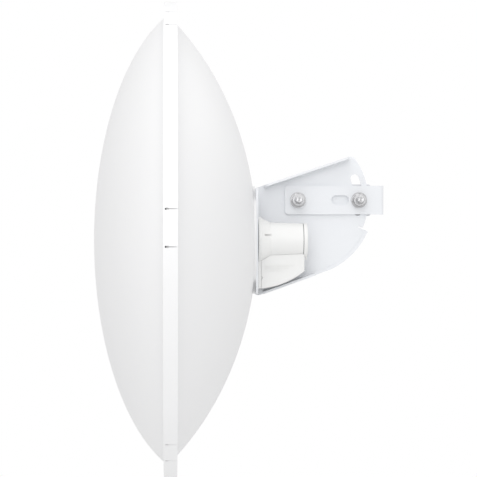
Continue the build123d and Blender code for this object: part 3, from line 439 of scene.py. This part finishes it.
class DISH_OT_housing(bpy.types.Operator):
    """Finishes the radio housing, its cap and cover, and its seals."""

    bl_idname = "dish.housing"
    bl_label = "Radio housing"

    def execute(self, context):
        look = context.scene.dish_finishes
        housing = satin_plastic("housing_plastic", look.housing_colour, 0.45, look.mould_grain)
        paint(housing, "radio_housing", "end_cap")
        duller = darker(look.housing_colour, 0.985)
        cover = satin_plastic("cover_plastic", duller, 0.5, look.mould_grain)
        paint(cover, "port_cover")
        gasket = elastomer("gasket_elastomer", (0.1, 0.1, 0.105))
        paint(gasket, "housing_seal", "cap_seal", "feed_seal")
        paint(elastomer("grommet_elastomer", (0.07, 0.07, 0.07)), "cable_grommet")
        button = satin_plastic("button_plastic", (0.09, 0.09, 0.1), 0.5, look.mould_grain)
        paint(button, "reset_button")
        paint(clear_pipe("light_pipe"), "status_light")
        return {"FINISHED"}


class DISH_OT_inside(bpy.types.Operator):
    """Finishes the electronics and the feed."""

    bl_idname = "dish.inside"
    bl_label = "Electronics and feed"

    def execute(self, context):
        look = context.scene.dish_finishes
        paint(circuit_board("solder_mask"), "main_board")
        tin = bare_metal("tin_plate", (0.68, 0.68, 0.67), 0.32, 0.0007)
        paint(tin, "shield_can", "cable_socket")
        aluminium = bare_metal("bare_aluminium", (0.78, 0.79, 0.8), 0.3, 0.0009)
        paint(aluminium, "heat_spreader", "waveguide", "sub_reflector")
        colour = darker(look.radome_colour, 0.96)
        feed = satin_plastic("feed_plastic", colour, 0.4, look.mould_grain)
        paint(feed, "feed_tube", "feed_cone", "feed_cap")
        return {"FINISHED"}


# ---------------------------------------------------------------- studio
def lamp(name, energy, offset, aim, size):
    """A round area lamp at an offset from its aim, both (x, y, z), that points at the aim."""
    place = tuple(at + step for at, step in zip(aim, offset))
    data = bpy.data.lights.new(name, "AREA")
    data.energy = energy
    data.shape = "DISK"
    data.size = size
    obj = bpy.data.objects.new(name, data)
    bpy.context.scene.collection.objects.link(obj)
    obj.location = place
    way = np.array(aim, float) - np.array(place, float)
    flat = math.hypot(way[0], way[1])
    heading = math.atan2(way[1], way[0]) - math.pi / 2
    obj.rotation_euler = (math.atan2(flat, -way[2]), 0, heading)


def plain_world(level):
    """White to the camera and through clear parts, a plain level of light on the object."""
    world = bpy.data.worlds.new("studio_world")
    bpy.context.scene.world = world
    world.use_nodes = True
    tree = world.node_tree
    tree.nodes.clear()
    out = tree.nodes.new("ShaderNodeOutputWorld")
    light, white = (tree.nodes.new("ShaderNodeBackground") for _ in range(2))
    mix = tree.nodes.new("ShaderNodeMixShader")
    path = tree.nodes.new("ShaderNodeLightPath")
    through = Sock(tree, path.outputs["Is Transmission Ray"])
    seen = Sock(tree, path.outputs["Is Camera Ray"]).maximum(through)
    light.inputs["Color"].default_value = (1, 1, 1, 1)
    light.inputs["Strength"].default_value = level
    white.inputs["Color"].default_value = (1, 1, 1, 1)
    white.inputs["Strength"].default_value = 1.0
    tree.links.new(seen.socket, mix.inputs[0])
    tree.links.new(light.outputs[0], mix.inputs[1])
    tree.links.new(white.outputs[0], mix.inputs[2])
    tree.links.new(mix.outputs[0], out.inputs[0])


def floor_grid(half, height):
    """A flat square: x and y run evenly over -half..half, z is the height."""
    steps = np.linspace(-half, half, FLOOR_LINES)
    x, y = np.meshgrid(steps, steps, indexing="ij")
    points = np.stack([x, y, np.full_like(x, height)], axis=-1).reshape(-1, 3)
    count = len(steps)
    corner = np.arange(count * count).reshape(count, count)
    around = [corner[:-1, :-1], corner[1:, :-1], corner[1:, 1:], corner[:-1, 1:]]
    faces = np.stack(around, axis=-1)
    mesh = bpy.data.meshes.new("studio_floor")
    mesh.from_pydata(points.tolist(), [], faces.reshape(-1, 4).tolist())
    obj = bpy.data.objects.new("studio_floor", mesh)
    bpy.context.scene.collection.objects.link(obj)
    return obj


def floor_paint(obj):
    """Pale floor that is nearly white to the camera but still takes a soft shadow."""
    material = bpy.data.materials.new("floor_pale")
    material.use_nodes = True
    tree = material.node_tree
    tree.nodes.clear()
    out = tree.nodes.new("ShaderNodeOutputMaterial")
    matt = tree.nodes.new("ShaderNodeBsdfDiffuse")
    matt.inputs["Color"].default_value = (FLOOR_GREY, FLOOR_GREY, FLOOR_GREY, 1)
    glow = tree.nodes.new("ShaderNodeEmission")
    mix = tree.nodes.new("ShaderNodeMixShader")
    path = tree.nodes.new("ShaderNodeLightPath")
    share = Sock(tree, path.outputs["Is Camera Ray"]) * FLOOR_GLOW_TO_CAMERA
    tree.links.new(share.socket, mix.inputs[0])
    tree.links.new(matt.outputs[0], mix.inputs[1])
    tree.links.new(glow.outputs[0], mix.inputs[2])
    tree.links.new(mix.outputs[0], out.inputs[0])
    obj.data.materials.append(material)


class DISH_OT_stage(bpy.types.Operator):
    """Sets the camera, the lamps, the surrounding light and the floor."""

    bl_idname = "dish.stage"
    bl_label = "Studio"

    def execute(self, context):
        studio = context.scene.dish_studio
        context.scene.view_settings.view_transform = "Standard"
        data = bpy.data.cameras.new("side_camera")
        data.sensor_width = SENSOR_WIDTH_MM
        data.lens = SENSOR_WIDTH_MM * studio.distance / studio.field
        data.clip_end = CAMERA_REACH
        camera = bpy.data.objects.new("side_camera", data)
        context.scene.collection.objects.link(camera)
        context.scene.camera = camera
        camera.location = (RIM_PLANE, AXIS_Y - studio.distance, AXIS_Z)
        yaw = math.atan2(studio.look_right, studio.distance)
        pitch = math.atan2(studio.look_up, studio.distance)
        camera.rotation_euler = (math.pi / 2 + pitch, 0, -yaw)
        middle = (RIM_PLANE + VIEW_MIDDLE_BEHIND_RIM, AXIS_Y, AXIS_Z)
        lamp("overhead", studio.key, OVERHEAD_PLACE, middle, OVERHEAD_SIZE)
        lamp("front_fill", studio.front, FRONT_PLACE, middle, FRONT_SIZE)
        lamp("back_fill", studio.key * BACK_SHARE_OF_KEY, BACK_PLACE, middle, BACK_SIZE)
        plain_world(studio.ambient)
        floor = floor_grid(FLOOR_HALF_WIDTH, AXIS_Z - studio.floor_drop)
        floor_paint(floor)
        return {"FINISHED"}


class DISH_PT_panel(bpy.types.Panel):
    """Lists the antenna's pieces, finishes and studio."""

    bl_idname = "DISH_PT_panel"
    bl_label = "Dish antenna"
    bl_space_type = "VIEW_3D"
    bl_region_type = "UI"
    bl_category = "Dish antenna"

    def draw(self, context):
        for group in (context.scene.dish_finishes, context.scene.dish_studio):
            for name in group.__annotations__:
                self.layout.prop(group, name)
        for step in STEPS:
            self.layout.operator(step.bl_idname)


STEPS = (
    DISH_OT_stage,
    DISH_OT_shell,
    DISH_OT_bracket,
    DISH_OT_jaws,
    DISH_OT_fasteners,
    DISH_OT_housing,
    DISH_OT_inside,
)
CLASSES = (DishFinishes, DishStudio, *STEPS, DISH_PT_panel)


def register():
    for item in CLASSES:
        bpy.utils.register_class(item)
    bpy.types.Scene.dish_finishes = bpy.props.PointerProperty(type=DishFinishes)
    bpy.types.Scene.dish_studio = bpy.props.PointerProperty(type=DishStudio)


def unregister():
    del bpy.types.Scene.dish_studio
    del bpy.types.Scene.dish_finishes
    for item in reversed(CLASSES):
        bpy.utils.unregister_class(item)


def main():
    """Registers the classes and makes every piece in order."""
    register()
    for step in STEPS:
        family, action = step.bl_idname.split(".")
        getattr(getattr(bpy.ops, family), action)()


if __name__ == "__main__":
    main()
